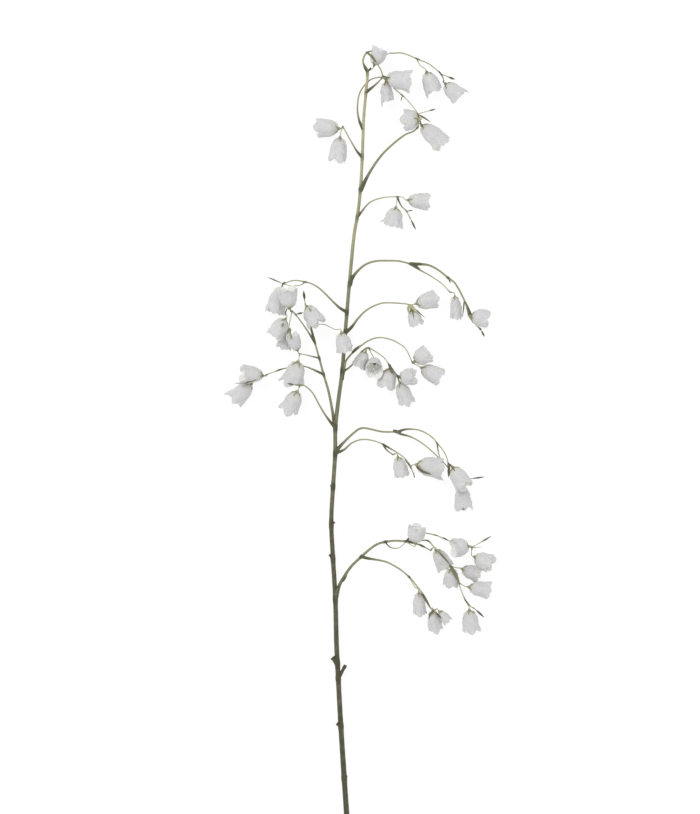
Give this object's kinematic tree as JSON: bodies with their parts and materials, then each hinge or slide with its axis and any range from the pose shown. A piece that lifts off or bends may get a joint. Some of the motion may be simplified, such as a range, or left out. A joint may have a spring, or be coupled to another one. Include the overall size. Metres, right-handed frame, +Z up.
{
  "type": "campanula flower stem",
  "caption": "Cut stem of white campanula lying flat: a slim curved stem with thin arching side sprays that carry nodding five-lobed bells and small buds.",
  "frame": {"origin": "middle of the footprint of the whole stem, on the surface that it lies on", "axes": "+Y along the stem from its cut foot to its flowering tip, +X to the side that most sprays bend to, +Z up from the surface"},
  "size_m": [0.3395, 0.9921, 0.0492],
  "materials": {
    "stem_green": "matt olive-brown bark",
    "thread_green": "matt yellow-green stalks",
    "petal_white": "soft matt white petals"
  },
  "bodies": {
    "root": {"main_stem": "stem_green", "spray_01": "thread_green", "spray_02": "thread_green", "spray_03": "thread_green", "spray_04": "thread_green", "spray_05": "thread_green", "spray_06": "thread_green", "spray_07": "thread_green", "spray_08": "thread_green", "spray_09": "thread_green", "spray_10": "thread_green", "spray_11": "thread_green", "bell_top_1": "petal_white", "bell_top_2": "petal_white", "bell_top_3": "petal_white", "bell_01_1": "petal_white", "bell_01_2": "petal_white", "bell_01_3": "petal_white", "bell_02_1": "petal_white", "bell_02_2": "petal_white", "bell_03_1": "petal_white", "bell_04_1": "petal_white", "bell_04_2": "petal_white", "bell_05_1": "petal_white", "bell_05_2": "petal_white", "bell_06_1": "petal_white", "bell_07_1": "petal_white", "bell_07_2": "petal_white", "bell_08_1": "petal_white", "bell_08_2": "petal_white", "bell_08_3": "petal_white", "bell_08_4": "petal_white", "bell_08_5": "petal_white", "bell_08_6": "petal_white", "bell_08_7": "petal_white", "bell_09_1": "petal_white", "bell_09_2": "petal_white", "bell_09_3": "petal_white", "bell_09_4": "petal_white", "bell_09_5": "petal_white", "bell_09_6": "petal_white", "bell_09_7": "petal_white", "bell_09_8": "petal_white", "bell_09_9": "petal_white", "bell_09_10": "petal_white", "bell_10_1": "petal_white", "bell_10_2": "petal_white", "bell_10_3": "petal_white", "bell_10_4": "petal_white", "bell_11_1": "petal_white", "bell_11_2": "petal_white", "bell_11_3": "petal_white", "bell_11_4": "petal_white", "bell_11_5": "petal_white", "bell_11_6": "petal_white", "bell_11_7": "petal_white", "bell_11_8": "petal_white", "bell_11_9": "petal_white", "bell_11_10": "petal_white", "bell_11_11": "petal_white"}
  },
  "joints": []
}
